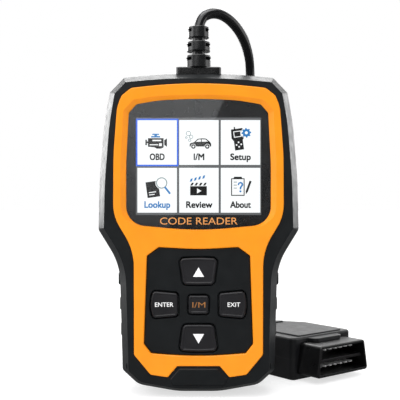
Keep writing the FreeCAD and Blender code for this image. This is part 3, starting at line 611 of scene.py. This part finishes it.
def make_display():
    inks = {
        "white": lit("screen_white", (0.97, 0.99, 1.0), 1.1),
        "line": lit("screen_line", (0.13, 0.135, 0.14), 1.0),
        "black": lit("screen_black", (0.0, 0.0, 0.0), 1.0),
        "grey": lit("screen_grey", (0.30, 0.37, 0.38), 1.0),
        "blue": lit("screen_blue", (0.02, 0.21, 0.55), 1.0),
        "focus": lit("screen_focus", (0.03, 0.15, 0.86), 1.0),
    }
    half_w, half_h = SCREEN_HALF
    cell_w, cell_h = CELL_HALF
    cells = [(x, z) for z in CELL_Z for x in CELL_X]

    def layer(number):
        return PANEL_FRONT - LAYER * (number + 0.5)

    def draw(name, shapes, number, ink):
        drawn(name, shapes, layer(number), LAYER, inks[ink], "display_glass", z=SCREEN_Z)

    draw("screen_ground", plain(rectangle(-half_w, -half_h, half_w, half_h)), 0, "line")
    panes = [rectangle(x - cell_w, z - cell_h, x + cell_w, z + cell_h) for x, z in cells]
    draw("screen_cells", plain(*panes), 1, "white")
    x, z = cells[0]
    focus_w, focus_h = FOCUS_HALF
    focus = frame_of(x - focus_w, z - focus_h, x + focus_w, z + focus_h, FOCUS_LINE)
    draw("screen_focus", [focus], 2, "focus")
    for icon, (x, z) in zip(ICONS, cells):
        for number, (ink, shapes) in enumerate(icon()):
            draw(f"{icon.__name__}_{number}_{ink}", moved(shapes, x, z), number + 2, ink)
    for (words, width), (x, z) in zip(LABELS, cells):
        ink = inks["blue"] if words == "Lookup" else inks["black"]
        name = "screen_word_" + words.replace("/", "").lower()
        place = {"x": x, "z": SCREEN_Z + z - LABEL_DROP, "y": layer(2)}
        lettering(name, words, width=width, height=LABEL_HEIGHT, thick=LAYER, material=ink,
                  slot="display_glass", heavier=LABEL_HEAVIER, **place)


# ---- printed legends -----------------------------------------------------------------------
INK = 0.03
DISH = 0.16  # the hollow in each key's face
UP_Z, DOWN_Z = 58.0, 27.3
SIDE_KEYS_Z = 43.0
CENTRE_KEY_Z = 42.9
LENS_WORDS_Z = 81.4


def make_legends():
    white = printed("ink_white", WHITE_INK)
    dim_orange = printed("ink_orange_dim", DIM_ORANGE_INK)
    bright_orange = printed("ink_orange", BRIGHT_ORANGE_INK)
    y = KEY_FRONT + DISH - INK / 2
    arrow = [(-2.55, -2.2), (2.55, -2.2), (0.0, 2.2)]
    arrow_down = [(px, -pz) for px, pz in reversed(arrow)]
    drawn("legend_up", plain(arrow), y, INK, white, "key_charcoal", "up_key", z=UP_Z)
    drawn("legend_down", plain(arrow_down), y, INK, white, "key_charcoal", "down_key", z=DOWN_Z)
    place = {"y": y, "thick": INK, "slot": "key_charcoal"}
    bold = {**place, "material": white, "heavier": 0.02}
    lettering("legend_enter", "ENTER", -15.9, SIDE_KEYS_Z, 8.5, 2.0, body="enter_key", **bold)
    lettering("legend_exit", "EXIT", 16.2, SIDE_KEYS_Z, 5.8, 2.0, body="exit_key", **bold)
    centre = {**place, "material": dim_orange}
    lettering("legend_centre", "I/M", 0.15, CENTRE_KEY_Z, 6.0, 2.5, body="centre_key", **centre)
    lens = {"y": LENS_BACK - INK / 2, "thick": INK, "slot": "mask_black", "material": bright_orange}
    lettering("legend_lens", "CODE READER", 0.0, LENS_WORDS_Z, 36.0, 3.2, **lens)


# ---- studio ---------------------------------------------------------------------------------
WORLD_LIGHT = 0.38
ROOM_GLOSS = 0.10
WALL_GLOSS = 0.9
WALL_ACROSS = (-0.1, 0.5)  # the y of a direction where the bright wall starts and is full
WALL_UP = (-0.16, 0.12)  # the same for its z
WALL_FOOT = 0.05  # how much of the wall's brightness is left below that
FLOOR_SPAN = 6.0  # metres, from the middle to each side
FLOOR_DROP = 0.0001  # metres, below the cable and the plug
FLOOR_GLOW = 0.66

# Each soft box: where it stands, where it aims, its width and height, and its radiance.
BOXES = {
    "left_box": ((-560, -120, 260), (0, 0, 90), (360, 420), 1.8),
    "right_box": ((560, -60, 230), (0, 0, 90), (300, 420), 1.2),
    "top_box": ((0, -60, 640), (0, 0, 90), (520, 300), 3.0),
    "back_left_box": ((-360, 520, 210), (-40, 0, 120), (320, 280), 5.0),
    "back_right_box": ((360, 520, 210), (40, 0, 120), (320, 280), 2.6),
    "back_top_box": ((0, 520, 450), (0, 0, 150), (440, 220), 4.0),
}


def area_light(name, place, aim, size, radiance):
    """A soft box of this radiance; its power follows from its area."""
    data = bpy.data.lights.new(name, "AREA")
    data.shape = "RECTANGLE"
    data.size, data.size_y = size[0] * MM, size[1] * MM
    data.energy = radiance * math.pi * data.size * data.size_y
    light = bpy.data.objects.new(name, data)
    light.location = at(*place)
    light.rotation_euler = (at(*aim) - at(*place)).to_track_quat("-Z", "Y").to_euler()
    light.visible_camera = False
    bpy.context.scene.collection.objects.link(light)


def sun_light(name, towards, strength, angle):
    """A sun whose light travels towards this direction, angle degrees across."""
    data = bpy.data.lights.new(name, "SUN")
    data.energy = strength
    data.angle = math.radians(angle)
    light = bpy.data.objects.new(name, data)
    light.rotation_euler = Vector(towards).to_track_quat("-Z", "Y").to_euler()
    bpy.context.scene.collection.objects.link(light)


def make_world():
    """The camera sees white all round, and the world's own light on things is dimmer.

    Reflections see a dark room in front of the reader and a bright wall behind it.
    """
    world = bpy.data.worlds.new("studio")
    bpy.context.scene.world = world
    world.use_nodes = True
    tree = world.node_tree
    nodes = tree.nodes
    link = tree.links.new

    def background(strength):
        node = nodes.new("ShaderNodeBackground")
        node.inputs["Color"].default_value = (1, 1, 1, 1)
        node.inputs["Strength"].default_value = strength
        return node

    def mixed(factor, first, second):
        node = nodes.new("ShaderNodeMixShader")
        link(factor, node.inputs["Fac"])
        link(first, node.inputs[1])
        link(second, node.inputs[2])
        return node.outputs["Shader"]

    def ranged(source, start, end, first, last):
        node = nodes.new("ShaderNodeMapRange")
        for key, value in (("From Min", start), ("From Max", end), ("To Min", first), ("To Max", last)):
            node.inputs[key].default_value = value
        link(source, node.inputs["Value"])
        return node.outputs["Result"]

    direction = nodes.new("ShaderNodeSeparateXYZ")
    link(nodes.new("ShaderNodeTexCoord").outputs["Generated"], direction.inputs["Vector"])
    wall = nodes.new("ShaderNodeMath")
    wall.operation = "MULTIPLY"
    link(ranged(direction.outputs["Y"], *WALL_ACROSS, 0.0, WALL_GLOSS), wall.inputs[0])
    link(ranged(direction.outputs["Z"], *WALL_UP, WALL_FOOT, 1.0), wall.inputs[1])
    room = nodes.new("ShaderNodeMath")
    room.operation = "ADD"
    link(wall.outputs["Value"], room.inputs[0])
    room.inputs[1].default_value = ROOM_GLOSS
    gloss = background(1.0)
    link(room.outputs["Value"], gloss.inputs["Strength"])
    path = nodes.new("ShaderNodeLightPath")
    lit_by = mixed(path.outputs["Is Glossy Ray"], background(WORLD_LIGHT).outputs[0], gloss.outputs[0])
    shown = mixed(path.outputs["Is Camera Ray"], lit_by, background(1.0).outputs[0])
    link(shown, nodes["World Output"].inputs["Surface"])


def make_floor():
    mesh = bpy.data.meshes.new("floor")
    corners = [(-1, -1), (1, -1), (1, 1), (-1, 1)]
    places = [(x * FLOOR_SPAN, y * FLOOR_SPAN, -FLOOR_DROP) for x, y in corners]
    mesh.from_pydata(places, [], [(0, 1, 2, 3)])
    floor = bpy.data.objects.new("floor", mesh)
    made = Shader("floor_card", 0.7, specular=0.1)
    greys = [(NOISE_LOW, (0.45, 0.45, 0.455)), (NOISE_HIGH, (0.47, 0.47, 0.475))]
    made.colour(made.ramp(made.noise(40.0), greys))
    made.main.inputs["Emission Color"].default_value = (1, 1, 1, 1)
    made.main.inputs["Emission Strength"].default_value = FLOOR_GLOW
    mesh.materials.append(made.material)
    floor.visible_glossy = False
    bpy.context.scene.collection.objects.link(floor)


# Two cards behind the camera that the polished lens mirrors, either side of a slanting edge.
# They are outlined where the camera sees them on the lens, and stand CARD_SPREAD times as wide.
CARD_BACK = 700.0
CARD_SPREAD = 1 + CARD_BACK / (LENS_FRONT - CAMERA[1])
CARD_LOW, CARD_HIGH, CARD_SIDE = 70.0, 142.0, 40.0
CARD_EDGE = [(-17.3, CARD_LOW), (-11.3, 84.0), (8.7, 130.5), (13.6, CARD_HIGH)]
# Each card's outer side, and its strength at the foot and at the top.
CARD_LIGHT = {"card_left": (-CARD_SIDE, 0.6, 2.5), "card_right": (CARD_SIDE, 0.25, 0.7)}


def glowing(name, low_z, high_z, low_strength, high_strength):
    """An emission that rises from low_z to high_z, in metres."""
    material = bpy.data.materials.new(name)
    material.use_nodes = True
    nodes = material.node_tree.nodes
    link = material.node_tree.links.new
    nodes.clear()
    glow = nodes.new("ShaderNodeEmission")
    height = nodes.new("ShaderNodeSeparateXYZ")
    link(nodes.new("ShaderNodeTexCoord").outputs["Object"], height.inputs["Vector"])
    rise = nodes.new("ShaderNodeMapRange")
    ends = {"From Min": low_z, "From Max": high_z, "To Min": low_strength, "To Max": high_strength}
    for key, value in ends.items():
        rise.inputs[key].default_value = value
    link(height.outputs["Z"], rise.inputs["Value"])
    link(rise.outputs["Result"], glow.inputs["Strength"])
    link(glow.outputs["Emission"], nodes.new("ShaderNodeOutputMaterial").inputs["Surface"])
    return material


def make_cards():
    lens_only = bpy.data.collections.new("lens_only")
    lens_only.objects.link(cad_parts["display_lens"])
    for name, (side, low_strength, high_strength) in CARD_LIGHT.items():
        points = []
        for x, z in [(side, CARD_LOW), *CARD_EDGE, (side, CARD_HIGH)]:
            place = (CAMERA[0] + (x - CAMERA[0]) * CARD_SPREAD, LENS_FRONT - CARD_BACK,
                     CAMERA[2] + (z - CAMERA[2]) * CARD_SPREAD)
            points.append(at(*place))
        mesh = bpy.data.meshes.new(name)
        mesh.from_pydata(points, [], [tuple(range(len(points)))])
        heights = [point.z for point in points]
        mesh.materials.append(glowing(name, min(heights), max(heights), low_strength, high_strength))
        card = bpy.data.objects.new(name, mesh)
        bpy.context.scene.collection.objects.link(card)
        card.visible_camera = False
        card.visible_diffuse = False
        card.visible_shadow = False
        card.light_linking.receiver_collection = lens_only


def make_studio():
    make_world()
    make_floor()
    make_cards()
    sun_light("key_sun", (0.35, 0.75, -1.0), 2.0, 70)
    for name, box in BOXES.items():
        area_light(name, *box)
    view = bpy.context.scene.view_settings
    view.view_transform = "Standard"
    view.look = "None"


make_cable(moulded("cable_sheath", (0.003, 0.003, 0.0035), 0.20, 3.0, 0.006, 0.0, specular=0.8))
dress_casing()
dress_keys()
dress_inside()
dress_plug()
make_display()
make_legends()
make_studio()
